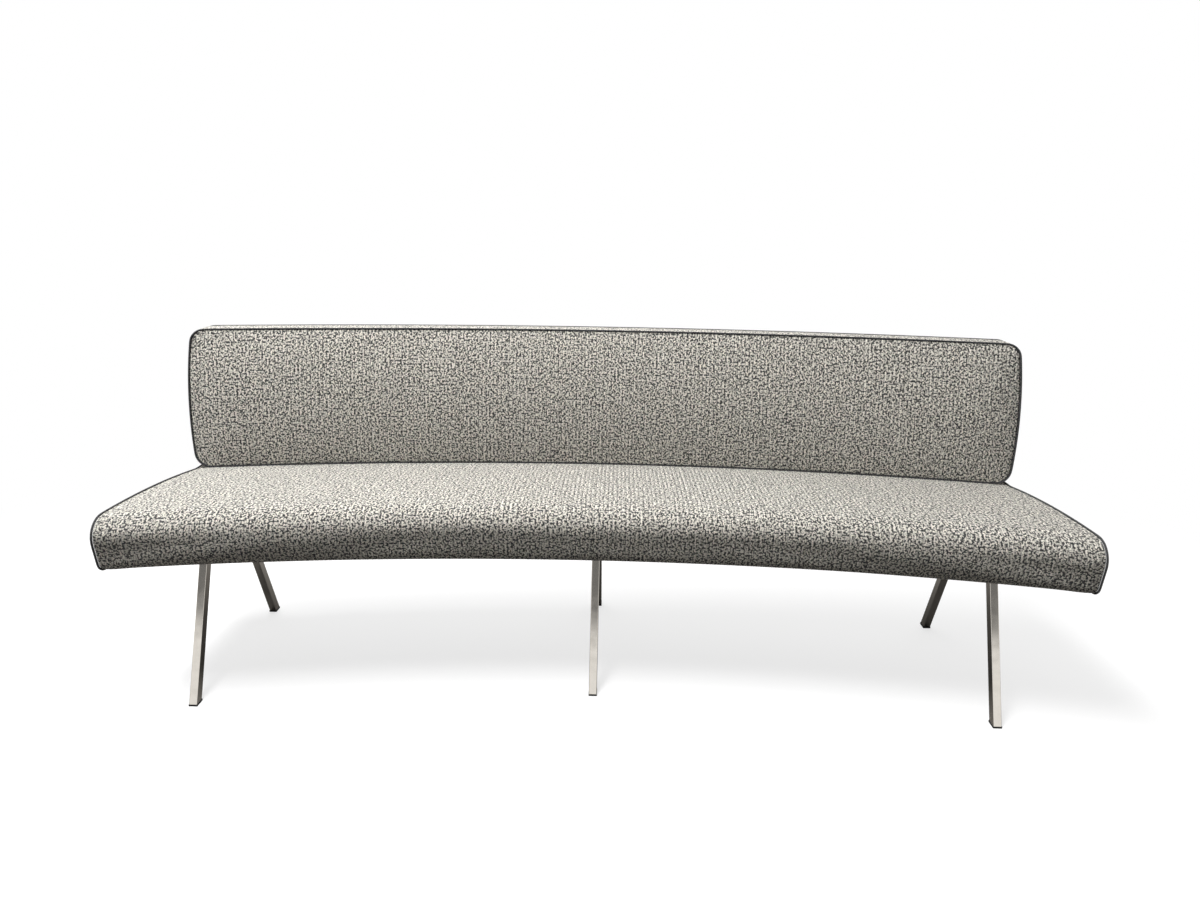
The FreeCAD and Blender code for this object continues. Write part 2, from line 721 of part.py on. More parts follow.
# Backrest, from the front panel to the rear panel
gap = S["cloth_gap"]
cloth_inset = S["piping_size"] + gap
rear_panel = S["back_thickness"] - S["cloth_thickness"]
rear_piping = S["back_thickness"] - S["piping_size"]
back_layer("back_front_cover", term(0), S["cloth_thickness"], cloth_inset, None, True, True)
back_layer("back_front_piping", term(0), S["piping_size"], term(0), S["piping_size"])
back_layer("back_front_foam", S["cloth_thickness"] + gap, board_front - gap, cloth_inset, None, True)
back_layer("back_edge_foam", board_front, board_rear, S["cloth_thickness"] + gap, S["board_inset"] - gap)
back_layer("back_rear_cover", rear_panel, S["back_thickness"], cloth_inset)
back_layer("back_rear_piping", rear_piping, S["back_thickness"], term(0), S["piping_size"])
board = back_layer("back_board", board_front, board_rear, S["board_inset"])
rear_foam = back_layer("back_rear_foam", board_rear + gap, rear_panel - gap, cloth_inset)
boxing = back_layer("back_boxing", S["piping_size"] + gap, rear_piping - gap, term(0), S["cloth_thickness"])

# Flat steel brackets: bolted under the rear rail, bent up behind the seat and screwed to the board
bracket_front = back_front + board_rear + gap
bracket_rear = bracket_front + S["bracket_thickness"]
bracket_top = back_base + S["bracket_rise"]
bracket_lean = S["bracket_rise"] * recline_slope
slot_half = S["bracket_width"] / 2 + S["hole_clearance"]
screw_hole = S["screw_size"] + S["hole_clearance"]
for side, turn in bracket_places.items():
    body = new_body(f"back_{side}_bracket")
    body.setExpression("Placement.Rotation.Yaw", turn.text)
    drawing = Drawing(body, "YZ_Plane")
    drawing.polygon([
        (bracket_rear - S["bracket_reach"], foot_bottom),
        (bracket_rear, foot_bottom),
        (bracket_rear, back_base),
        (bracket_rear + bracket_lean, bracket_top),
        (bracket_front + bracket_lean, bracket_top),
        (bracket_front, back_base),
        (bracket_front, foot_top),
        (bracket_rear - S["bracket_reach"], foot_top),
    ])
    add_feature(body, "Pad", drawing, Length=S["bracket_width"], Midplane=True)
    drawing = Drawing(body, "XY_Plane")
    for radius in bracket_bolts:
        drawing.circle(term(0), radius, bolt_hole)
    pocket_through(body, drawing)
    drawing = Drawing(body, "XZ_Plane")
    for height in screw_heights:
        drawing.circle(term(0), height, screw_hole)
    pocket_through(body, drawing)
    nodes[body.Label] = body

    # The board is drilled, and the rear foam and the boxing are slit, where a bracket comes
    drawing = Drawing(board, "XZ_Plane", turn=turn)
    for height in screw_heights:
        drawing.circle(term(0), height, screw_hole)
    pocket_through(board, drawing)
    drawing = Drawing(rear_foam, "XZ_Plane", turn=turn)
    drawing.rectangle(-slot_half, slot_half, S["seat_underside_height"], bracket_top + S["screw_head"])
    pocket_through(rear_foam, drawing)
    drawing = Drawing(boxing, "XY_Plane", turn=turn)
    drawing.rectangle(
        -slot_half, slot_half, bracket_front - S["hole_clearance"], bracket_rear + S["hole_clearance"] * 3)
    add_feature(boxing, "Pocket", drawing, Length=back_base + S["cloth_thickness"] * 3, Reversed=True)


def leg_pair_body(label, across):
    """An empty body standing where one leg pair's front foot meets the floor."""
    body = new_body(label, curved=False)
    body.setExpression("Placement.Base.x", across.text)
    body.setExpression("Placement.Base.y", (centre_y + foot_line(across)).text)
    return body


def leaning(start, direction, low, high, wall):
    """Corners of a leaning bar cut level at two heights, set in by a wall on its two long sides."""
    skin = wall / cosine(S["leg_lean"])
    corners = []
    for height, inset in ((low, skin), (low, leg_cut - skin), (high, leg_cut - skin), (high, skin)):
        corners.append((start + height * lean_slope * direction + inset, height))
    return corners


# Legs of rectangular tube, splayed fore and aft and welded under a flat plate, with push-in glides
glides = {"front": [], "rear": []}
for side, across in frame_places.items():
    body = leg_pair_body(f"{side}_mounting_plate", across)
    drawing = Drawing(body, "XY_Plane", lift=plate_bottom)
    drawing.rectangle(-S["plate_width"] / 2, S["plate_width"] / 2, plate_front, plate_rear)
    for reach in (-S["bolt_spacing"] / 2, S["bolt_spacing"] / 2):
        for along in (plate_front + S["bolt_edge"], plate_rear - S["bolt_edge"]):
            drawing.circle(reach, along, bolt_hole)
    add_feature(body, "Pad", drawing, Length=S["plate_thickness"])
    nodes[body.Label] = body
    for end, start, direction in (("front", term(0), 1), ("rear", S["foot_spread"], -1)):
        body = leg_pair_body(f"{side}_{end}_leg", across)
        drawing = Drawing(body, "YZ_Plane")
        drawing.polygon(leaning(start, direction, S["glide_height"], plate_bottom, term(0)))
        pad = add_feature(body, "Pad", drawing, Length=S["leg_width"], Midplane=True)
        doc.recompute()
        long_edges = []
        for number, edge in enumerate(pad.Shape.Edges, start=1):
            if edge.BoundBox.ZLength > S["glide_height"].value:
                long_edges.append(f"Edge{number}")
        rounding = body.newObject("PartDesign::Fillet", f"{body.Label}_rounding")
        rounding.Base = (pad, long_edges)
        rounding.setExpression("Radius", S["leg_corner"].text)
        drawing = Drawing(body, "YZ_Plane")
        drawing.polygon(leaning(start, direction, S["glide_height"], plate_bottom, S["leg_wall"]))
        add_feature(body, "Pocket", drawing, Length=S["leg_width"] - S["leg_wall"] * 2, Midplane=True)
        nodes[body.Label] = body

        body = leg_pair_body(f"{side}_{end}_glide", across)
        drawing = Drawing(body, "XY_Plane")
        reach = S["leg_width"] / 2 + S["glide_overhang"]
        heel = start + S["glide_height"] * lean_slope * direction
        drawing.rectangle(-reach, reach, heel - S["glide_overhang"], heel + leg_cut + S["glide_overhang"])
        add_feature(body, "Pad", drawing, Length=S["glide_height"])
        drawing = Drawing(body, "YZ_Plane")
        inside = S["leg_wall"] + gap
        plug_top = S["glide_height"] + S["glide_plug"]
        drawing.polygon(leaning(start, direction, S["glide_height"], plug_top, inside))
        add_feature(body, "Pad", drawing, Length=S["leg_width"] - inside * 2, Midplane=True)
        glides[end].append(body)
nodes["front_glides"] = group("front_glides", glides["front"])
nodes["rear_glides"] = group("rear_glides", glides["rear"])


def turned(label, corners, axis="Z_Axis"):
    """A small part turned from a half section; the model that its copies follow."""
    body = new_body(label, curved=False)
    drawing = Drawing(body, "YZ_Plane")
    drawing.polygon(corners)
    add_feature(body, "Revolution", drawing, ReferenceAxis=(origin_feature(body, axis), [""]), Angle=360)
    return body


# Fasteners: socket-head bolts and washers from below into tee nuts on the rails, wood screws in the board
shank = S["bolt_size"] / 2
head = S["bolt_head"] / 2
bolt_length = rail_top - plate_bottom + S["washer_thickness"] - rail_height / 10
bolt = turned("bolt_model", [
    (term(0), -S["bolt_head_height"]), (head, -S["bolt_head_height"]), (head, term(0)),
    (shank, term(0)), (shank, bolt_length), (term(0), bolt_length),
])
drawing = Drawing(bolt, "XY_Plane", lift=-S["bolt_head_height"])
key = S["bolt_size"] * 0.36
drawing.polygon([(key * math.cos(math.radians(turn)), key * math.sin(math.radians(turn)))
                 for turn in range(30, 390, 60)])
add_feature(bolt, "Pocket", drawing, Length=S["bolt_head_height"] / 2, Reversed=True)
bore = shank + S["hole_clearance"] / 4
barrel = S["tee_barrel"] / 2
flange = S["tee_flange"] / 2
tee = turned("tee_model", [
    (bore, -S["tee_length"]), (barrel, -S["tee_length"]), (barrel, term(0)), (flange, term(0)),
    (flange, S["tee_flange_thickness"]), (bore, S["tee_flange_thickness"]),
])
washer = turned("washer_model", [
    (bore, term(0)), (S["washer_size"] / 2, term(0)),
    (S["washer_size"] / 2, S["washer_thickness"]), (bore, S["washer_thickness"]),
])
level = term(0)
under_plate = plate_bottom - S["washer_thickness"]
under_foot = foot_bottom - S["washer_thickness"]
leg_spots = [(across, along, under_plate, level) for across, along in all_leg_bolts]
bracket_spots = [(across, along, under_foot, level) for across, along in bracket_holes]
nodes["frame_bolts"] = copies("frame_bolts", bolt, leg_spots + bracket_spots)
nodes["frame_washers"] = copies("frame_washers", washer, leg_spots + bracket_spots)
nodes["tee_nuts"] = copies("tee_nuts", tee, [
    (across, along, rail_top, level) for across, along in all_leg_bolts + bracket_holes])
screw_reach = S["bracket_thickness"] + S["screw_bite"]
screw = turned("screw_model", [
    (-screw_reach, term(0)), (S["screw_head_height"], term(0)),
    (S["screw_head_height"], S["screw_head"] / 2), (term(0), S["screw_head"] / 2),
    (term(0), S["screw_size"] / 2), (-screw_reach, S["screw_size"] / 2),
], "Y_Axis")
screw_spots = []
for turn in bracket_places.values():
    for height in screw_heights:
        seat = bracket_rear + (height + S["screw_head"] / 2 - back_base) * recline_slope
        screw_spots.append((*radial(seat, turn), height, turn))
nodes["bracket_screws"] = copies("bracket_screws", screw, screw_spots)

# Recompute, check every object and write one file for each node
doc.recompute()
for item in doc.Objects:
    if "Invalid" in item.State or "Error" in item.State:
        raise RuntimeError(f"{item.Label}: {item.getStatusString()}")
    if item.TypeId == "PartDesign::Pocket" and not item.Shape.Volume < item.BaseFeature.Shape.Volume - 1:
        raise RuntimeError(f"{item.Label} cuts nothing")
os.makedirs("parts", exist_ok=True)
for label, node in nodes.items():
    if node.Shape.isNull() or not node.Shape.isValid():
        raise RuntimeError(f"{label} has no valid shape")
    node.Shape.exportStep(f"parts/{label}.step")
print(f"{len(nodes)} nodes written")
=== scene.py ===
"""Looks of the curved dining bench, in metres, in the frame of its CAD model."""
import math

import bpy
import numpy as np
from mathutils import Matrix, Vector


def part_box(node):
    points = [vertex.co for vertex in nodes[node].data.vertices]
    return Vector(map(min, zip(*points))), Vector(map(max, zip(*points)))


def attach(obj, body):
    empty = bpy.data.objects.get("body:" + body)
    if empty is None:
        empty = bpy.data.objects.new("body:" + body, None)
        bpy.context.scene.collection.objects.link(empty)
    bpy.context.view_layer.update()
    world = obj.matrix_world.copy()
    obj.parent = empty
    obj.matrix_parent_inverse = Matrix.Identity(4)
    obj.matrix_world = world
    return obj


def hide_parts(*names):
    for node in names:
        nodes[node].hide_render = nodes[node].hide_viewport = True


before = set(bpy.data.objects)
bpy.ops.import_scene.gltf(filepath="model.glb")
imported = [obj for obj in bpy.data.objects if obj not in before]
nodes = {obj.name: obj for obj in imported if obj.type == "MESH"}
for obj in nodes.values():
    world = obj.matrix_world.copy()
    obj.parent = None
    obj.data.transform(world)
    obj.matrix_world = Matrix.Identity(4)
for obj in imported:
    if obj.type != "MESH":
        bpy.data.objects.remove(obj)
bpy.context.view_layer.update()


# Seat frame: beech rails sawn to the curve, glued and screwed end to end.
# It carries the webbing and the legs, and the cover hides all of it.
BEECH_PALE, BEECH_DARK = (0.62, 0.43, 0.26), (0.47, 0.29, 0.16)
WOOD_ROUGHNESS = 0.62
GRAIN_STRETCH = (9, 60, 60)
PORE_DEPTH = 0.0006


def finish(name, **sockets):
    """A new material, its node tree and its shader, with plain values set on the shader's sockets."""
    material = bpy.data.materials.new(name)
    material.use_nodes = True
    shader = material.node_tree.nodes["Principled BSDF"]
    for label, value in sockets.items():
        shader.inputs[label.replace("_", " ")].default_value = value
    return material, material.node_tree, shader


def add(tree, kind, sockets, **properties):
    """A shader node; its sockets, by name or number, take a plain value or another node's output."""
    node = tree.nodes.new("ShaderNode" + kind)
    for label, value in properties.items():
        setattr(node, label, value)
    for label, value in sockets.items():
        if isinstance(value, bpy.types.NodeSocket):
            tree.links.new(value, node.inputs[label])
        else:
            node.inputs[label].default_value = value
    return node


def mixed(tree, share, first, second, blend="MIX"):
    """Two colours mixed by a share."""
    node = add(tree, "Mix", {0: share, 6: first, 7: second}, data_type="RGBA", blend_type=blend)
    return node.outputs[2]


def new_group(name, inputs, outputs):
    """An empty shader node group with its named sockets; returns the tree and its two end nodes."""
    tree = bpy.data.node_groups.new(name, "ShaderNodeTree")
    for label, kind, value in inputs:
        socket = tree.interface.new_socket(label, in_out="INPUT", socket_type="NodeSocket" + kind)
        socket.default_value = value
    for label, kind in outputs:
        tree.interface.new_socket(label, in_out="OUTPUT", socket_type="NodeSocket" + kind)
    return tree, tree.nodes.new("NodeGroupInput"), tree.nodes.new("NodeGroupOutput")


def bumped(tree, shader, height, depth):
    """Leads a height through a Bump node into the shader's normal."""
    bump = add(tree, "Bump", {"Height": height, "Distance": depth, "Strength": 1.0})
    tree.links.new(bump.outputs["Normal"], shader.inputs["Normal"])


def dress(material, *names):
    """Gives CAD nodes a finish; their shape stays."""
    for name in names:
        nodes[name].data.materials.clear()
        nodes[name].data.materials.append(material)


grain_group, grain_in, grain_out = new_group(
    "wood_grain",
    [("Place", "Vector", (0, 0, 0)), ("Pale", "Color", (*BEECH_PALE, 1)),
     ("Dark", "Color", (*BEECH_DARK, 1))],
    [("Colour", "Color"), ("Height", "Float")])
stretched = add(grain_group, "VectorMath", {0: grain_in.outputs["Place"], 1: GRAIN_STRETCH},
                operation="MULTIPLY").outputs[0]
figure = add(grain_group, "TexNoise", {"Vector": stretched, "Scale": 1.0, "Detail": 6.0, "Distortion": 0.6})
pores = add(grain_group, "TexNoise", {"Vector": stretched, "Scale": 14.0, "Detail": 3.0})
wood_colour = mixed(grain_group, figure.outputs[0], grain_in.outputs["Pale"], grain_in.outputs["Dark"])
grain_group.links.new(wood_colour, grain_out.inputs["Colour"])
grain_group.links.new(pores.outputs[0], grain_out.inputs["Height"])


def wood(name, pale, dark):
    """Planed wood with its figure in two tones and fine pores."""
    material, tree, shader = finish(name, Roughness=WOOD_ROUGHNESS)
    place = add(tree, "TexCoord", {}).outputs["Object"]
    grain = add(tree, "Group", {"Place": place, "Pale": (*pale, 1), "Dark": (*dark, 1)},
                node_tree=grain_group)
    tree.links.new(grain.outputs["Colour"], shader.inputs["Base Color"])
    bumped(tree, shader, grain.outputs["Height"], PORE_DEPTH)
    return material


beech = wood("beech", BEECH_PALE, BEECH_DARK)
dress(beech, "seat_front_rail", "seat_rear_rail", "seat_left_end_rail", "seat_right_end_rail",
      "seat_left_cross_rail", "seat_middle_cross_rail", "seat_right_cross_rail")


# Webbing: elastic straps of brown woven jute and rubber, stapled across the rails.
# They carry the felt and the foam, and lie hidden inside the seat.
WEBBING_PALE, WEBBING_DARK = (0.30, 0.20, 0.11), (0.14, 0.09, 0.05)
WEBBING_THREAD = 0.0016
THREAD_RISE = 0.4


def maths(tree, operation, first, second=0.0, third=0.0):
    """The output of a Math node."""
    return add(tree, "Math", {0: first, 1: second, 2: third}, operation=operation).outputs[0]


def ramp(tree, value, stops):
    """A colour ramp through (position, colour) stops."""
    node = add(tree, "ValToRGB", {"Fac": value})
    keys = node.color_ramp.elements
    while len(keys) < len(stops):
        keys.new(1.0)
    for key, (position, colour) in zip(keys, stops):
        key.position = position
        key.color = (*colour, 1.0)
    return node.outputs["Color"]


cloth_group, cloth_in, cloth_out = new_group(
    "plain_weave",
    [("Place", "Vector", (0, 0, 0)), ("Pace", "Float", math.pi / WEBBING_THREAD)],
    [("Height", "Float"), ("Shade", "Float")])
threads = add(cloth_group, "VectorMath", {0: cloth_in.outputs["Place"], 3: cloth_in.outputs["Pace"]},
              operation="SCALE").outputs[0]
axes = add(cloth_group, "SeparateXYZ", {0: threads}).outputs
warp, weft = (maths(cloth_group, "SINE", axes[number]) for number in (0, 1))
crossing = maths(cloth_group, "MULTIPLY", warp, weft)
fuzz = add(cloth_group, "TexNoise", {"Vector": threads, "Scale": 0.35, "Detail": 4.0}).outputs[0]
weave_height = maths(cloth_group, "MULTIPLY_ADD", crossing, 0.5, fuzz)
cloth_group.links.new(weave_height, cloth_out.inputs["Height"])
cloth_group.links.new(fuzz, cloth_out.inputs["Shade"])


def plain_cloth(name, pale, dark, thread, roughness):
    """A plainly woven cloth in two close tones, with threads of a given width."""
    material, tree, shader = finish(name, Roughness=roughness)
    place = add(tree, "TexCoord", {}).outputs["Object"]
    weave = add(tree, "Group", {"Place": place, "Pace": math.pi / thread}, node_tree=cloth_group)
    colour = ramp(tree, weave.outputs["Shade"], [(0.3, dark), (0.7, pale)])
    tree.links.new(colour, shader.inputs["Base Color"])
    bumped(tree, shader, weave.outputs["Height"], thread * THREAD_RISE)
    return material


webbing = plain_cloth("webbing", WEBBING_PALE, WEBBING_DARK, WEBBING_THREAD, roughness=0.85)
dress(webbing, "seat_webbing")


# Seat cover: one tweed panel over wadding and foam, from a hem under the rear rail
# over the crowned top and the rounded nose to a hem under the front rail.
FRONT_RADIUS = 5.190
NOSE_RADIUS = 0.052
FRONT_UNDERCUT = 0.008
FRONT_BOTTOM_RADIUS = 0.028
CROWN_RADIUS = 3.0
REAR_TOP_RADIUS = 0.018
BACK_LEDGE = 0.052
LINING = 0.006
HEM_WIDTH = 0.022
CLOTH = 0.002
SEAM_DIP = 0.0025
SHOULDER = 0.030
COVER_PITCH = 0.0165
COVER_SEAM_STEPS = (0.0, 0.003, 0.008, 0.016, 0.028)
FRONT_HEM_ROWS = 3
REAR_ROWS = 19
SEAT_PRESSURE = 0.8
SEAT_SWELL = 0.003
SWELL_FRAMES = 20

cover_low, cover_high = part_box("seat_cover")
seam_x = cover_high.x
underside = cover_low.z
crest = cover_high.z
centre_y = cover_low.y - math.sqrt(FRONT_RADIUS ** 2 - seam_x ** 2)
front_foot = FRONT_RADIUS + FRONT_UNDERCUT + FRONT_BOTTOM_RADIUS
seat_rear = cover_high.y - centre_y
back_foot = seat_rear - BACK_LEDGE
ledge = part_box("back_boxing")[0].z


def on_arc(x, radius):
    """The y of a point of the bench at a distance across and a radius about the arc's centre."""
    return centre_y + np.sqrt(radius ** 2 - x ** 2)


def turn(centre, radius, first, last, count):
    """Points of an arc in a section, without its first point."""
    angles = np.linspace(first, last, count + 1)[1:]
    return np.column_stack([centre[0] + radius * np.cos(angles), centre[1] + radius * np.sin(angles)])


def run(start, end, count):
    """Points of a straight stretch in a section, without its first point."""
    return np.linspace(start, end, count + 1)[1:]


def towards(angle):
    """A step of one metre at an angle in a section."""
    return np.array([math.cos(angle), math.sin(angle)])


def seat_section(inset):
    """The seat's outline as (radius, height), from the rear wall's foot to the bottom of the front."""
    low = np.array([front_foot, underside + FRONT_BOTTOM_RADIUS])
    high = np.array([FRONT_RADIUS + NOSE_RADIUS, crest - NOSE_RADIUS])
    rear = np.array([seat_rear - REAR_TOP_RADIUS, ledge - REAR_TOP_RADIUS])
    shelf = np.array([back_foot - CLOTH, ledge - inset])
    bottom_radius, nose_radius, rear_radius, crown_radius = (
        radius - inset for radius in (FRONT_BOTTOM_RADIUS, NOSE_RADIUS, REAR_TOP_RADIUS, CROWN_RADIUS))
    lean = low - high
    front_angle = (math.atan2(-lean[1], -lean[0])
                   + math.acos((bottom_radius - nose_radius) / math.hypot(*lean)))
    reach = crown_radius - nose_radius
    chord = math.hypot(*(shelf - high))
    bearing = math.atan2(shelf[1] - high[1], shelf[0] - high[0])
    swing = math.acos((chord ** 2 + reach ** 2 - crown_radius ** 2) / (2 * chord * reach))
    crown = high + reach * towards(bearing - swing)
    crest_angle = math.atan2(high[1] - crown[1], high[0] - crown[0])
    shelf_angle = math.atan2(shelf[1] - crown[1], shelf[0] - crown[0])
    nose_end = high + nose_radius * towards(front_angle)
    bottom_start = low + bottom_radius * towards(front_angle)
    foot = np.array([seat_rear - inset, underside + LINING])
    return np.vstack([
        foot[None],
        run(foot, (seat_rear - inset, rear[1]), count=6),
        turn(rear, rear_radius, 0, math.pi / 2, count=5),
        run((rear[0], ledge - inset), shelf, count=3),
        turn(crown, crown_radius, shelf_angle, crest_angle, count=34),
        turn(high, nose_radius, crest_angle, front_angle, count=11),
        run(nose_end, bottom_start, count=5),
        turn(low, bottom_radius, front_angle, 1.5 * math.pi, count=7),
    ])


def columns(reach, pitch, seam_steps):
    """Places across a panel, even in the middle and closer towards its two seams."""
    steps = reach - np.array(seam_steps)
    middle = np.linspace(-steps[-1], steps[-1], int(2 * steps[-1] / pitch) + 1)
    return np.concatenate([-steps[:-1], middle, steps[-2::-1]])


def numbered(points):
    """The numbers of rows of points in a mesh."""
    rows, count = points.shape[:2]
    return np.arange(rows * count).reshape(rows, count)


def quads_of(index):
    """Quads between neighbouring rows and columns of point numbers."""
    return np.stack([index[:-1, :-1], index[:-1, 1:], index[1:, 1:], index[1:, :-1]], axis=-1).reshape(-1, 4)


def placed(name, mesh):
    """A smooth mesh as an object of the scene."""
    mesh.shade_smooth()
    piece = bpy.data.objects.new(name, mesh)
    bpy.context.scene.collection.objects.link(piece)
    return piece


def cloth_piece(name, points, faces, weave):
    """A mesh with the cloth's own coordinates on its points."""
    mesh = bpy.data.meshes.new(name)
    mesh.from_pydata(points.tolist(), [], faces.tolist())
    layer = mesh.attributes.new("weave", "FLOAT_VECTOR", "POINT")
    flat = np.column_stack([weave, np.zeros(len(weave))])
    layer.data.foreach_set("vector", flat.astype(np.float32).ravel())
    return placed(name, mesh)


def skin(name, points, weave, wrap=False):
    """A cloth piece through rows of points, closed to a ring where its rows go round."""
    index = numbered(points)
    if wrap:
        index = np.vstack([index, index[:1]])
    return cloth_piece(name, points.reshape(-1, 3), quads_of(index), weave.reshape(-1, 2))


def lengths(points):
    """Running length along a row of points."""
    return np.concatenate([[0.0], np.cumsum(np.linalg.norm(np.diff(points, axis=0), axis=1))])


def places(mesh):
    """The places of a mesh's points."""
    co = np.zeros(len(mesh.vertices) * 3, np.float32)
    mesh.vertices.foreach_get("co", co)
    return co.reshape(-1, 3)


def swell(piece, held, pressure, cap):
    """Blows a cover up over its filling as cloth held along its seams; its movement levels off at cap."""
    scene = bpy.context.scene
    start = places(piece.data)
    seams = piece.vertex_groups.new(name="sewn")
    seams.add([int(i) for i in held], 1.0, "REPLACE")
    cloth = piece.modifiers.new("filling", "CLOTH")
    cloth.settings.quality = 5
    cloth.settings.vertex_group_mass = seams.name
    cloth.settings.use_pressure = True
    cloth.settings.uniform_pressure_force = pressure
    cloth.settings.effector_weights.gravity = 0.0
    cloth.point_cache.frame_end = SWELL_FRAMES
    for number in range(1, SWELL_FRAMES + 1):
        scene.frame_set(number)
    swollen = piece.evaluated_get(bpy.context.evaluated_depsgraph_get())
    step = places(swollen.data) - start
    step *= cap / (cap + np.linalg.norm(step, axis=1, keepdims=True))
    piece.modifiers.remove(cloth)
    piece.vertex_groups.remove(seams)
    piece.data.vertices.foreach_set("co", (start + step).astype(np.float32).ravel())
    piece.data.update()
    scene.frame_set(1)


def upholster(piece, material, slot, *replaced, thickness=0.0, fill=None):
    """Gives a cover its finish, thickness, body and the CAD nodes that it stands for."""
    piece.data.materials.append(material)
    if thickness:
        backing = piece.modifiers.new("thickness", "SOLIDIFY")
        backing.thickness = thickness
        backing.offset = -1.0
    rounding = piece.modifiers.new("rounding", "SUBSURF")
    rounding.levels = rounding.render_levels = 1
    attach(piece, "root")
    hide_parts(*replaced)


CREAM, TAUPE, CHARCOAL = (0.96, 0.92, 0.82), (0.29, 0.272, 0.238), (0.042, 0.040, 0.038)
PALE_TAUPE = tuple(1.5 * part for part in TAUPE)
DULL_CREAM = tuple(0.82 * part for part in CREAM)
LOOPS_PER_METRE = (400.0, 400.0, 0.0)
YARN_CHANGE = 0.53
YARN_TWIST = (7.0, 2.2, 0.0)
RIB_LOOPS = 4.3
WANDER_LOOPS = 1.2
FRAY_LOOPS = 0.8
PILE_DEPTH = 0.006


def grey(value):
    """A grey, or a vector with three equal parts."""
    return (value, value, value)


def scaled(tree, vector, factors, shift=(0, 0, 0)):
    """A vector times factors, plus a shift."""
    return add(tree, "VectorMath", {0: vector, 1: factors, 2: shift}, operation="MULTIPLY_ADD").outputs[0]


tweed_group, tweed_in, tweed_out = new_group(
    "tweed_loops", [("Place", "Vector", (0, 0, 0))], [("Colour", "Color"), ("Height", "Float")])
loop_grid = scaled(tweed_group, tweed_in.outputs["Place"], LOOPS_PER_METRE)
wander = add(tweed_group, "TexNoise", {"Vector": loop_grid, "Scale": 0.30, "Detail": 1.0})
drift = scaled(tweed_group, wander.outputs["Color"], grey(WANDER_LOOPS), loop_grid)
fray = add(tweed_group, "TexNoise", {"Vector": loop_grid, "Scale": 2.4, "Detail": 3.0, "Roughness": 0.65})
ragged = scaled(tweed_group, fray.outputs["Color"], grey(FRAY_LOOPS), loop_grid)
loops = add(tweed_group, "TexVoronoi",
            {"Vector": ragged, "Scale": 1.0, "Randomness": 0.8, "Smoothness": 0.15},
            voronoi_dimensions="2D", feature="SMOOTH_F1").outputs
yarn = add(tweed_group, "SeparateColor", {0: loops["Color"]}).outputs
twist = scaled(tweed_group, ragged, YARN_TWIST)
fibres = add(tweed_group, "TexNoise", {"Vector": twist, "Scale": 1.0, "Detail": 3.0}).outputs[0]
spun = add(tweed_group, "TexNoise", {"Vector": loops["Position"], "Scale": YARN_CHANGE, "Detail": 0.0},
           noise_dimensions="2D").outputs[0]
loop_tone = maths(tweed_group, "MULTIPLY_ADD", yarn[0], 0.10, spun)
fibre_tone = maths(tweed_group, "MULTIPLY_ADD", fibres, 0.22, loop_tone)
yarn_colour = ramp(tweed_group, fibre_tone, [
    (0.0, CHARCOAL), (0.575, CHARCOAL), (0.605, TAUPE),
    (0.635, PALE_TAUPE), (0.665, DULL_CREAM), (0.78, CREAM)])
# Painted shade: each loop darkens towards its edge, as if shade fell in the gaps between the loops.
painted_gap_shade = ramp(tweed_group, loops["Distance"], [(0.30, grey(1.0)), (0.75, grey(0.55))])
rib_turn = maths(tweed_group, "MULTIPLY", add(tweed_group, "SeparateXYZ", {0: drift}).outputs[0],
                 math.pi / RIB_LOOPS)
rib = maths(tweed_group, "ABSOLUTE", maths(tweed_group, "SINE", rib_turn))
# Painted shade: the grooves between the vertical ribs are darkened, as if shade fell in them.
painted_groove_shade = ramp(tweed_group, rib, [(0.0, grey(0.58)), (0.55, grey(1.0))])
shaded_loop_colour = mixed(tweed_group, 1.0, yarn_colour, painted_gap_shade, "MULTIPLY")
shaded_tweed_colour = mixed(tweed_group, 1.0, shaded_loop_colour, painted_groove_shade, "MULTIPLY")
dome = maths(tweed_group, "SUBTRACT", 1.0, maths(tweed_group, "POWER", loops["Distance"], 2.0))
loop_height = maths(tweed_group, "MULTIPLY", dome, maths(tweed_group, "ADD", yarn[1], 0.5))
ribbed_height = maths(tweed_group, "MULTIPLY_ADD", rib, 0.5, loop_height)
tweed_height = maths(tweed_group, "MULTIPLY_ADD", fibres, 0.4, ribbed_height)
# The tweed's colour carries the painted shade of the loop gaps and the rib grooves.
tweed_group.links.new(shaded_tweed_colour, tweed_out.inputs["Colour"])
tweed_group.links.new(tweed_height, tweed_out.inputs["Height"])

tweed, tweed_tree, tweed_shader = finish("tweed", Roughness=0.95, Sheen_Weight=0.1, Sheen_Roughness=0.5)
weave_place = add(tweed_tree, "Attribute", {}, attribute_name="weave").outputs["Vector"]
tweed_loops = add(tweed_tree, "Group", {"Place": weave_place}, node_tree=tweed_group)
tweed_tree.links.new(tweed_loops.outputs["Colour"], tweed_shader.inputs["Base Color"])
bumped(tweed_tree, tweed_shader, tweed_loops.outputs["Height"], PILE_DEPTH)

section = seat_section(0.0)
rear_hem = np.array([[seat_rear - LINING - HEM_WIDTH, underside], [seat_rear - LINING, underside]])
rear_corner = turn((seat_rear - LINING, underside + LINING), LINING, -math.pi / 2, 0, count=3)[:-1]
front_hem = run(section[-1], section[-1] + np.array([HEM_WIDTH, 0.0]), count=2)
wrapped = np.vstack([rear_hem, rear_corner, section, front_hem])
along = np.gradient(wrapped, axis=0)
outward = np.column_stack([along[:, 1], -along[:, 0]])
outward /= np.linalg.norm(outward, axis=1, keepdims=True)
seat_x = columns(seam_x, COVER_PITCH, COVER_SEAM_STEPS)
near_seam = np.clip(1 - (seam_x - np.abs(seat_x)) / SHOULDER, 0, 1) ** 2
dipped = wrapped[:, None, :] - outward[:, None, :] * (near_seam * SEAM_DIP)[None, :, None]
seat_points = np.empty((len(wrapped), len(seat_x), 3))
seat_points[..., 0] = seat_x[None, :]
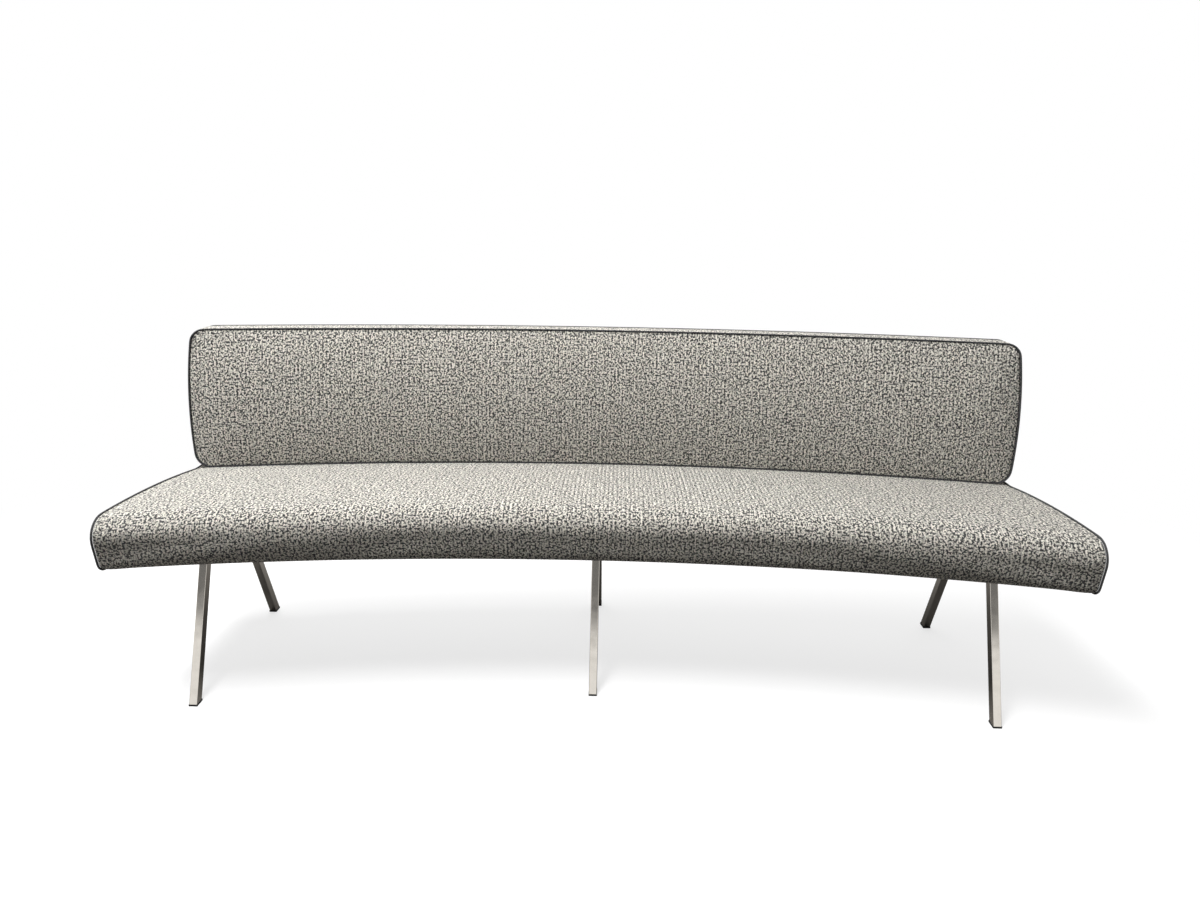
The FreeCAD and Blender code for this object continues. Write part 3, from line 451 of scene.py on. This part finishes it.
seat_points[..., 1] = on_arc(seat_x[None, :], dipped[..., 0])
seat_points[..., 2] = dipped[..., 1]
seat_weave = np.stack(np.meshgrid(seat_x, lengths(wrapped)), axis=-1)
seat_cover = skin("seat_cushion", seat_points[::-1], seat_weave[::-1])
seat_index = numbered(seat_points)
seat_held = np.unique(np.concatenate([
    seat_index[:FRONT_HEM_ROWS].ravel(), seat_index[-REAR_ROWS:].ravel(),
    seat_index[:, 0], seat_index[:, -1]]))
swell(seat_cover, seat_held, SEAT_PRESSURE, SEAT_SWELL)
upholster(seat_cover, tweed, "tweed", "seat_cover", "seat_wadding", "seat_foam", "seat_felt_pad",
          thickness=CLOTH, fill=0.9)


# Seat end panels: a flat piece of the same tweed sewn into each end of the cover,
# over the foam pad on the end rail.
PIPING_SIZE = 0.005
PANEL_INSET = PIPING_SIZE * 0.9
END_SWELL = 0.003
END_LIFT = 0.0005
END_ROWS = 9
END_CUT = 0.37

end_upper = seat_section(PANEL_INSET)
end_foot = underside + END_LIFT
end_lower = np.linspace([end_upper[0, 0], end_foot], [end_upper[-1, 0], end_foot], len(end_upper))
end_shares = np.linspace(0, 1, END_ROWS)
end_flat = end_upper[None] * (1 - end_shares)[:, None, None] + end_lower[None] * end_shares[:, None, None]
end_rise = np.outer(1 - (2 * end_shares - 1) ** 2, np.sin(np.linspace(0, math.pi, len(end_upper))) ** 0.5)
for side, sign in (("left", -1), ("right", 1)):
    end_points = np.empty((*end_flat.shape[:2], 3))
    end_points[..., 0] = sign * (seam_x + CLOTH + END_SWELL * end_rise)
    end_points[..., 1] = on_arc(end_points[..., 0], end_flat[..., 0])
    end_points[..., 2] = end_flat[..., 1]
    outer_side = end_points if sign > 0 else end_points[::-1]
    end_panel = skin(f"seat_{side}_end", outer_side, outer_side[..., 1:] + END_CUT)
    upholster(end_panel, tweed, "tweed", f"seat_{side}_end_panel", "seat_end_foam", thickness=CLOTH, fill=0.8)


# Seat piping: a cord in dark cloth caught in the seam round each end of the seat,
# with its two ends tucked under the hems.
PIPING_PALE, PIPING_DARK = (0.030, 0.030, 0.032), (0.012, 0.012, 0.013)
PIPING_THREAD = 0.0009
PIPING_SIDES = 10
PIPING_RADIUS = 0.0027
PIPING_PROUD = 0.0006
FRONT_TUCK = np.array([[0.006, 0.0008], [0.011, 0.003], [0.014, 0.008]])
REAR_TUCK = np.array([[-0.014, 0.003], [-0.008, -0.0012], [-0.0025, -0.0025]])
TUCK_INWARD = np.array([0.0, 0.0015, 0.003])


def cord(name, path, axis, closed):
    """A round cord along a path that lies square to an axis, as one mesh, closed to a ring or at its ends."""
    ahead = np.roll(path, -1, axis=0) - np.roll(path, 1, axis=0)
    if not closed:
        ahead[0], ahead[-1] = path[1] - path[0], path[-1] - path[-2]
    ahead /= np.linalg.norm(ahead, axis=1, keepdims=True)
    aside = np.cross(ahead, np.broadcast_to(axis, ahead.shape))
    aside /= np.linalg.norm(aside, axis=1, keepdims=True)
    up = np.cross(aside, ahead)
    angles = np.linspace(0, 2 * math.pi, PIPING_SIDES, endpoint=False)[None, :, None]
    rings = path[:, None] + PIPING_RADIUS * (np.cos(angles) * aside[:, None] + np.sin(angles) * up[:, None])
    index = numbered(rings)
    index = np.hstack([index, index[:, :1]])
    if closed:
        index = np.vstack([index, index[:1]])
    faces = quads_of(index.T).tolist()
    if not closed:
        faces += [index[0, :-1].tolist(), index[-1, -2::-1].tolist()]
    mesh = bpy.data.meshes.new(name)
    mesh.from_pydata(rings.reshape(-1, 3).tolist(), [], faces)
    return placed(name, mesh)


piping_cloth = plain_cloth("piping_cloth", PIPING_PALE, PIPING_DARK, PIPING_THREAD, roughness=0.8)
seam_line = seat_section(PIPING_RADIUS - PIPING_PROUD)
tucked_line = np.vstack([seam_line[0] + REAR_TUCK, seam_line, seam_line[-1] + FRONT_TUCK])
inward = np.concatenate([TUCK_INWARD[::-1], np.zeros(len(seam_line)), TUCK_INWARD])
for side, sign in (("left", -1), ("right", 1)):
    cord_x = sign * (seam_x + PIPING_SIZE / 2 - inward)
    cord_path = np.column_stack([cord_x, on_arc(cord_x, tucked_line[:, 0]), tucked_line[:, 1]])
    piping = cord(f"seat_{side}_piping_cord", cord_path, (1.0, 0.0, 0.0), closed=False)
    upholster(piping, piping_cloth, "dark_piping", f"seat_{side}_piping")


# Dust cover: black cloth stretched under the rails between the cover's hems,
# held by a row of wire staples in the front rail and another in the rear rail.
DUST_PALE, DUST_DARK = (0.035, 0.035, 0.036), (0.018, 0.018, 0.019)
DUST_THREAD = 0.0012
DUST_GAP = 0.0002
DUST_COLUMNS, DUST_ROWS = 120, 24

dust_low, dust_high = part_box("seat_dust_cover")
dust_inner = front_foot + HEM_WIDTH + DUST_GAP
dust_outer = seat_rear - LINING - HEM_WIDTH - DUST_GAP
dust_x = np.linspace(dust_low.x, dust_high.x, DUST_COLUMNS)
dust_r = np.linspace(dust_outer, dust_inner, DUST_ROWS)
dust_points = np.empty((DUST_ROWS, DUST_COLUMNS, 3))
dust_points[..., 0] = dust_x[None, :]
dust_points[..., 1] = on_arc(dust_x[None, :], dust_r[:, None])
dust_points[..., 2] = dust_high.z
dust_cover = skin("seat_dust_sheet", dust_points[::-1], np.stack(np.meshgrid(dust_x, dust_r), axis=-1))
dust_cloth = plain_cloth("dust_cloth", DUST_PALE, DUST_DARK, DUST_THREAD, roughness=0.95)
upholster(dust_cover, dust_cloth, "dust_cloth", "seat_dust_cover", thickness=dust_high.z - dust_low.z)

ZINC, DULL_ZINC = (0.62, 0.62, 0.60), (0.50, 0.50, 0.49)
SMUDGES_PER_METRE = 38.0
SCRATCH_STRETCH = (900, 900, 40)
STAPLE_PITCH = 0.038
STAPLE_CROWN = 0.010
STAPLE_LEG = 0.006
STAPLE_WIRE = 0.0008
STAPLE_INSET = 0.009
STAPLE_CLEARANCE = 0.012

wear_group, wear_in, wear_out = new_group(
    "handling_wear",
    [("Place", "Vector", (0, 0, 0)), ("Size", "Float", SMUDGES_PER_METRE)],
    [("Smudge", "Float"), ("Scratch", "Float")])
smudge = add(wear_group, "TexNoise",
             {"Vector": wear_in.outputs["Place"], "Scale": wear_in.outputs["Size"], "Detail": 5.0})
long_marks = scaled(wear_group, wear_in.outputs["Place"], SCRATCH_STRETCH)
scratch = add(wear_group, "TexNoise", {"Vector": long_marks, "Scale": 1.0, "Detail": 2.0})
wear_group.links.new(smudge.outputs[0], wear_out.inputs["Smudge"])
wear_group.links.new(scratch.outputs[0], wear_out.inputs["Scratch"])


def handled(name, colour, worn, roughness, metallic, depth):
    """A metal, paint or plastic whose gloss is uneven with handling, between two roughnesses."""
    material, tree, shader = finish(name, Metallic=metallic)
    place = add(tree, "TexCoord", {}).outputs["Object"]
    wear = add(tree, "Group", {"Place": place, "Size": SMUDGES_PER_METRE}, node_tree=wear_group).outputs
    tone = ramp(tree, wear["Smudge"], [(0.35, colour), (0.75, worn)])
    gloss = ramp(tree, wear["Smudge"], [(0.3, grey(roughness[0])), (0.7, grey(roughness[1]))])
    tree.links.new(tone, shader.inputs["Base Color"])
    tree.links.new(gloss, shader.inputs["Roughness"])
    bumped(tree, shader, wear["Scratch"], depth)
    return material


zinc = handled("zinc", ZINC, DULL_ZINC, roughness=(0.28, 0.45), metallic=1.0, depth=0.00002)
fixings = [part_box(name) for name in nodes if name.endswith(("mounting_plate", "bracket"))]
wire = bpy.data.curves.new("dust_staples", "CURVE")
wire.dimensions = "3D"
wire.bevel_depth = STAPLE_WIRE / 2
wire.bevel_resolution = 1
wire.use_fill_caps = True
crown_z = dust_low.z - STAPLE_WIRE / 2
leg = Vector((0.0, 0.0, STAPLE_LEG))
for radius in (dust_inner + STAPLE_INSET, dust_outer - STAPLE_INSET):
    half_turn = math.asin((dust_high.x - STAPLE_INSET) / radius)
    for angle in np.linspace(-half_turn, half_turn, int(2 * half_turn * radius / STAPLE_PITCH)):
        x, y = radius * math.sin(angle), centre_y + radius * math.cos(angle)
        if any(start.x - STAPLE_CLEARANCE < x < end.x + STAPLE_CLEARANCE and start.y < y < end.y
               for start, end in fixings):
            continue
        crown = Vector((x, y, crown_z))
        half_crown = STAPLE_CROWN / 2 * Vector((math.cos(angle), -math.sin(angle), 0.0))
        bends = (crown - half_crown + leg, crown - half_crown, crown + half_crown, crown + half_crown + leg)
        spline = wire.splines.new("POLY")
        spline.points.add(len(bends) - 1)
        for point, bend in zip(spline.points, bends):
            point.co = (*bend, 1.0)
bent_wire = bpy.data.objects.new("bent_wire", wire)
staples = placed("dust_staples", bpy.data.meshes.new_from_object(bent_wire))
bpy.data.objects.remove(bent_wire)
staples.data.materials.append(zinc)
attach(staples, "root")


# Backrest board and brackets: bent plywood screwed to three flat steel bars
# that are bolted under the rear rail and painted black.
PLY_PALE, PLY_DARK = (0.66, 0.50, 0.32), (0.52, 0.36, 0.21)
BLACK, RUBBED_BLACK = (0.022, 0.022, 0.023), (0.035, 0.034, 0.033)

plywood = wood("plywood", PLY_PALE, PLY_DARK)
dress(plywood, "back_board")
black_paint = handled("black_paint", BLACK, RUBBED_BLACK, roughness=(0.38, 0.55), metallic=0.0, depth=0.00005)
dress(black_paint, "back_left_bracket", "back_middle_bracket", "back_right_bracket")
dress(zinc, "bracket_screws")


# Backrest panels: a crowned front panel over foam, a flatter rear panel and a boxing strip between them,
# all in the tweed, sewn together at two dark pipings.
RECLINE = math.radians(8.5)
BACK_THICKNESS = 0.070
BACK_CROWN = 0.016
REAR_CROWN = 0.004
TOP_CORNER = 0.038
BOTTOM_CORNER = 0.045
END_RADIUS = 1.4
END_FALL = 0.12
END_EASE = 2.4
BOARD_FRONT = 0.0398
SEAM_SINK = 0.001
SPAN_STEPS, CORNER_STEPS, END_STEPS = 80, 8, 22
PANEL_ROWS = 24
PANEL_PITCH = 0.0125
PANEL_SEAM_STEPS = (0.0, 0.0025, 0.006, 0.012, 0.02)
BACK_PRESSURE = 4.0
BACK_SWELL = 0.004
FRONT_CUT, REAR_CUT, STRIP_CUT = 0.11, 0.63, 0.29
STRIP_EDGE = PIPING_SIZE * 0.8
STRIP_CROWN = 0.0022
STRIP_ROWS = 9
BACK_PIPING_PROUD = 0.0010

back_low, back_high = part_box("back_front_piping")
back_base = back_low.z
back_top = back_high.z
half_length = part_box("seat_right_piping")[1].x


def back_point(x, z, depth):
    """A point of the backrest at a place across, a height and a depth behind its front face."""
    radius = back_foot + depth + (z - back_base) * math.tan(RECLINE)
    return np.stack([x, on_arc(x, radius), z], axis=-1)


def back_outline(inset):
    """The right half of the backrest's outline as (x, z), from the middle of its foot round to its top."""
    reach = half_length - inset
    low, high = back_base + inset, back_top - inset
    top, bottom, end = TOP_CORNER - inset, BOTTOM_CORNER - inset, END_RADIUS - inset
    upper = np.array([reach - top, high - top])
    lower = np.array([reach - bottom, low + bottom])
    apart = math.dist(upper, lower)
    down = (lower - upper) / apart
    fall = ((end - top) ** 2 - (end - bottom) ** 2 + apart ** 2) / (2 * apart)
    back = math.sqrt((end - top) ** 2 - fall ** 2)
    centre = upper + down * fall + np.array([down[1], -down[0]]) * back
    first, last = (math.atan2(*(point - centre)[::-1]) for point in (lower, upper))
    return np.vstack([
        [[0.0, low]],
        run((0.0, low), (lower[0], low), SPAN_STEPS),
        turn(lower, bottom, -math.pi / 2, first, CORNER_STEPS),
        turn(centre, end, first, last, END_STEPS),
        turn(upper, top, last, math.pi / 2, CORNER_STEPS),
        run((upper[0], high), (0.0, high), SPAN_STEPS),
    ])


def back_loop(inset):
    """The whole outline as a closed ring of points."""
    right_half = back_outline(inset)
    left_half = right_half[-2:0:-1] * np.array([-1.0, 1.0])
    return np.vstack([right_half, left_half])


def back_panel(inset):
    """Rows of points (x, z) that fill the outline, and how far each one rises, as a share of the crown."""
    edge_x, edge_z = back_outline(inset)[SPAN_STEPS:-SPAN_STEPS].T
    middle_z = np.linspace(edge_z[CORNER_STEPS], edge_z[-CORNER_STEPS - 1], PANEL_ROWS)[1:-1]
    heights = np.concatenate([edge_z[:CORNER_STEPS + 1], middle_z, edge_z[-CORNER_STEPS - 1:]])
    reach = np.interp(heights, edge_z, edge_x)[:, None]
    across = reach * columns(1.0, PANEL_PITCH, PANEL_SEAM_STEPS)[None, :]
    flat = np.stack([across, np.broadcast_to(heights[:, None], across.shape)], axis=-1)
    middle = (heights[0] + heights[-1]) / 2
    tall = (heights - middle) / (heights[-1] - middle)
    from_end = np.clip((reach - np.abs(across)) / END_FALL, 0, 1)
    rise = (1 - np.abs(tall[:, None]) ** 2) * (1 - (1 - from_end) ** END_EASE)
    return flat, rise


panel_flat, panel_rise = back_panel(PANEL_INSET)
panel_x, panel_z = panel_flat[..., 0], panel_flat[..., 1]
front_points = back_point(panel_x, panel_z, SEAM_SINK - BACK_CROWN * panel_rise)
board_points = back_point(panel_x, panel_z, np.full(panel_rise.shape, BOARD_FRONT))
front_index = numbered(panel_rise)
board_index = front_index + front_index.size
rim = np.concatenate([
    front_index[0, :-1], front_index[:-1, -1], front_index[-1, :0:-1], front_index[:0:-1, 0]])
rim_next = np.roll(rim, -1)
rim_faces = np.column_stack([rim, rim + front_index.size, rim_next + front_index.size, rim_next])
pad_faces = np.vstack([quads_of(front_index), quads_of(board_index)[:, ::-1], rim_faces])
pad_points = np.vstack([front_points.reshape(-1, 3), board_points.reshape(-1, 3)])
pad_weave = np.vstack([panel_flat.reshape(-1, 2)] * 2) + FRONT_CUT
front_pad = cloth_piece("back_front_panel", pad_points, pad_faces, pad_weave)
swell(front_pad, np.unique(np.concatenate([rim, board_index.ravel()])), BACK_PRESSURE, BACK_SWELL)
upholster(front_pad, tweed, "tweed", "back_front_cover", "back_front_foam", fill=0.9)

rear_points = back_point(panel_x, panel_z, BACK_THICKNESS - SEAM_SINK + REAR_CROWN * panel_rise)
rear_panel = skin("back_rear_panel", rear_points[::-1], panel_flat[::-1] + REAR_CUT)
upholster(rear_panel, tweed, "tweed", "back_rear_cover", "back_rear_foam", thickness=CLOTH, fill=0.8)

loop = back_loop(0.0)
loop_out = (np.roll(loop, -1, axis=0) - np.roll(loop, 1, axis=0))[:, ::-1] * np.array([1.0, -1.0])
loop_out /= np.linalg.norm(loop_out, axis=1, keepdims=True)
strip_depths = np.linspace(STRIP_EDGE, BACK_THICKNESS - STRIP_EDGE, STRIP_ROWS)
strip_rises = STRIP_CROWN * (1 - np.linspace(-1, 1, STRIP_ROWS) ** 2) - SEAM_SINK
strip_lines = []
for depth, rise in zip(strip_depths, strip_rises):
    raised = loop + loop_out * rise
    strip_lines.append(back_point(raised[:, 0], raised[:, 1], np.full(len(loop), depth)))
strip_weave = np.stack(np.meshgrid(strip_depths, lengths(loop)), axis=-1) + STRIP_CUT
boxing = skin("back_boxing_strip", np.stack(strip_lines, axis=1), strip_weave, wrap=True)
upholster(boxing, tweed, "tweed", "back_boxing", "back_edge_foam", thickness=CLOTH, fill=0.7)

seam_loop = back_loop(PIPING_RADIUS - BACK_PIPING_PROUD)
seam_depth = PIPING_RADIUS - PIPING_PROUD
for face, depth in (("front", seam_depth), ("rear", BACK_THICKNESS - seam_depth)):
    cord_path = back_point(seam_loop[:, 0], seam_loop[:, 1], np.full(len(seam_loop), depth))
    piping = cord(f"back_{face}_piping_cord", cord_path, (0.0, 1.0, 0.0), closed=True)
    upholster(piping, piping_cloth, "dark_piping", f"back_{face}_piping")


# Legs: three pairs of rectangular steel tube splayed fore and aft, welded under flat plates,
# polished and chromed, with black push-in glides.
CHROME, DULL_CHROME = (0.74, 0.70, 0.64), (0.69, 0.65, 0.59)
GLIDE_BLACK, SCUFFED_BLACK = (0.020, 0.020, 0.021), (0.04, 0.04, 0.04)

chrome = handled("chrome", CHROME, DULL_CHROME, roughness=(0.05, 0.12), metallic=1.0, depth=0.000004)
for side in ("left", "middle", "right"):
    dress(chrome, f"{side}_mounting_plate", f"{side}_front_leg", f"{side}_rear_leg")
glide_plastic = handled("glide_plastic", GLIDE_BLACK, SCUFFED_BLACK, roughness=(0.45, 0.65), metallic=0.0,
                        depth=0.00006)
dress(glide_plastic, "front_glides", "rear_glides")


# Fasteners: zinc-plated steel bolts with washers, put in from below.
# They run through the plates and the rails into tee nuts on top of the rails.
dress(zinc, "frame_bolts", "frame_washers", "tee_nuts")


# Stage: a floor that is pale near the bench, where it keeps the shadow, and white farther off,
# a white surround with darker walls in front for the light, and one soft ceiling light.
FLOOR_HALF = 30.0
FLOOR_OVAL = (0.6, 1, 1)
FLOOR_NEAR, FLOOR_FAR = 0.6, 1.7
FLOOR_GREY = (*grey(0.32), 1)
FLOOR_GLOW = 0.70
FLOOR_DARK = (0.13, 0.125, 0.12, 1)
WHITE = (1, 1, 1, 1)
SURROUND_FRONT, SURROUND_REAR = 0.07, 1.70
CEILING, CEILING_EDGE, CEILING_FADE = 0.20, 0.29, 0.02
KEY_PLACE = Vector((-1.25, -0.55, 4.0))
KEY_AIM = Vector((0.0, -0.05, 0.45))
KEY_SIZE = (3.0, 1.2)
KEY_POWER = 415.0

floor_mesh = bpy.data.meshes.new("floor")
floor_corners = [(x * FLOOR_HALF, y * FLOOR_HALF, 0) for x, y in ((-1, -1), (1, -1), (1, 1), (-1, 1))]
floor_mesh.from_pydata(floor_corners, [], [(0, 1, 2, 3)])
floor = bpy.data.objects.new("floor", floor_mesh)
bpy.context.scene.collection.objects.link(floor)
floor_paint = bpy.data.materials.new("floor_paint")
floor_paint.use_nodes = True
tree = floor_paint.node_tree
tree.nodes.clear()
ray = add(tree, "LightPath", {}).outputs
in_metal = maths(tree, "MAXIMUM", ray["Is Glossy Ray"], ray["Is Transmission Ray"])
oval = scaled(tree, add(tree, "TexCoord", {}).outputs["Object"], FLOOR_OVAL)
away = add(tree, "VectorMath", {0: oval}, operation="LENGTH").outputs["Value"]
near = add(tree, "MapRange",
           {"Value": away, "From Min": FLOOR_NEAR, "From Max": FLOOR_FAR, "To Min": 1.0, "To Max": 0.0},
           interpolation_type="SMOOTHSTEP").outputs[0]
matt = add(tree, "BsdfDiffuse", {"Color": FLOOR_GREY}).outputs[0]
glow = add(tree, "Emission", {"Color": WHITE, "Strength": FLOOR_GLOW}).outputs[0]
pale = add(tree, "AddShader", {0: matt, 1: glow}).outputs[0]
white = add(tree, "Emission", {"Color": WHITE, "Strength": 1.0}).outputs[0]
dark = add(tree, "BsdfDiffuse", {"Color": FLOOR_DARK}).outputs[0]
shown = add(tree, "MixShader", {0: near, 1: white, 2: pale}).outputs[0]
mirrored = add(tree, "MixShader", {0: near, 1: white, 2: dark}).outputs[0]
unseen = add(tree, "MixShader", {0: in_metal, 1: dark, 2: mirrored}).outputs[0]
surface = add(tree, "MixShader", {0: ray["Is Camera Ray"], 1: unseen, 2: shown}).outputs[0]
add(tree, "OutputMaterial", {"Surface": surface})
floor_mesh.materials.append(floor_paint)

world = bpy.data.worlds.new("surround")
bpy.context.scene.world = world
world.use_nodes = True
tree = world.node_tree
tree.nodes.clear()
ray = add(tree, "LightPath", {}).outputs
in_metal = maths(tree, "MAXIMUM", ray["Is Glossy Ray"], ray["Is Transmission Ray"])
way = add(tree, "SeparateXYZ", {0: add(tree, "TexCoord", {}).outputs["Generated"]}).outputs
wall = maths(tree, "MAXIMUM", maths(tree, "ABSOLUTE", way[0]), maths(tree, "ABSOLUTE", way[1]))
height = maths(tree, "DIVIDE", way[2], wall)
studio = ramp(tree, height, [(CEILING_EDGE, grey(1.0)), (CEILING_EDGE + CEILING_FADE, grey(CEILING))])
surround = ramp(tree, way[1], [(0.05, grey(SURROUND_FRONT)), (0.75, grey(SURROUND_REAR))])
sky = mixed(tree, ray["Is Camera Ray"], mixed(tree, in_metal, surround, studio), WHITE)
background = add(tree, "Background", {"Color": sky, "Strength": 1.0})
add(tree, "OutputWorld", {"Surface": background.outputs[0]})

key_data = bpy.data.lights.new("ceiling_light", "AREA")
key_data.shape = "RECTANGLE"
key_data.size, key_data.size_y = KEY_SIZE
key_data.energy = KEY_POWER
key = bpy.data.objects.new("ceiling_light", key_data)
key.location = KEY_PLACE
key.rotation_mode = "QUATERNION"
key.rotation_quaternion = (KEY_AIM - KEY_PLACE).to_track_quat("-Z", "Y")
bpy.context.scene.collection.objects.link(key)
bpy.context.scene.view_settings.view_transform = "Standard"


# Camera at the photograph's place, a little above the backrest and in front of the bench.
# Its place, turn and focal length were found from the outlines of the seat, the back and the feet.
CAMERA_PLACE = Vector((0.0504, -2.1065, 1.2074))
CAMERA_PITCH = math.radians(16.5381)
CAMERA_TURN = math.radians(-1.2464)
CAMERA_ROLL = math.radians(0.8445)
SENSOR_WIDTH = 36.0
FOCAL_PIXELS = 850.0
PHOTO_WIDTH = 1200.0

forward = Vector((
    math.sin(CAMERA_TURN) * math.cos(CAMERA_PITCH),
    math.cos(CAMERA_TURN) * math.cos(CAMERA_PITCH),
    -math.sin(CAMERA_PITCH)))
level = Vector((math.cos(CAMERA_TURN), -math.sin(CAMERA_TURN), 0.0))
below = forward.cross(level)
right = level * math.cos(CAMERA_ROLL) - below * math.sin(CAMERA_ROLL)
above = -(level * math.sin(CAMERA_ROLL) + below * math.cos(CAMERA_ROLL))
facing = Matrix((right, above, -forward)).transposed().to_4x4()
camera_data = bpy.data.cameras.new("photo_camera")
camera_data.sensor_width = SENSOR_WIDTH
camera_data.lens = FOCAL_PIXELS / PHOTO_WIDTH * SENSOR_WIDTH
camera = bpy.data.objects.new("photo_camera", camera_data)
camera.matrix_world = Matrix.Translation(CAMERA_PLACE) @ facing
bpy.context.scene.collection.objects.link(camera)
bpy.context.scene.camera = camera
